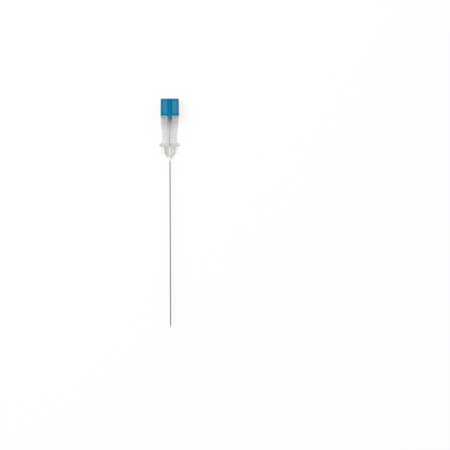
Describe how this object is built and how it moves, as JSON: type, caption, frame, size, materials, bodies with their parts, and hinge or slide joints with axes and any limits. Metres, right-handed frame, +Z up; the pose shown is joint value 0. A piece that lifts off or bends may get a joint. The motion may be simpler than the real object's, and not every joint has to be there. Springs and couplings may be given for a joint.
{
  "type": "spinal needle",
  "caption": "Spinal needle: slender steel cannula with a ground bevel, clear Luer hub with finger ears, and a lift-out wire stylet under a keyed cap.",
  "frame": {"origin": "on the plane that the needle lies on, under the middle of its whole length and below its axis", "axes": "+Y along the needle towards the cap, with the point at -Y; +Z up, the side of the key and the bevel"},
  "size_m": [0.011, 0.1212, 0.0076],
  "materials": {
    "steel_tube": "drawn and polished",
    "clear_hub": "clear moulded",
    "clear_glue": "cured resin",
    "steel_wire": "drawn",
    "clear_plug": "clear moulded",
    "blue_cap": "moulded"
  },
  "bodies": {
    "needle": {"cannula": "steel_tube", "needle_hub": "clear_hub", "hub_adhesive": "clear_glue"},
    "stylet": {"stylet_wire": "steel_wire", "stylet_plug": "clear_plug", "stylet_cap": "blue_cap"}
  },
  "joints": [
    {"name": "stylet_slide", "type": "slide", "parent": "needle", "child": "stylet", "axis": [0, 1, 0], "range_m": [0, 0.114]}
  ]
}
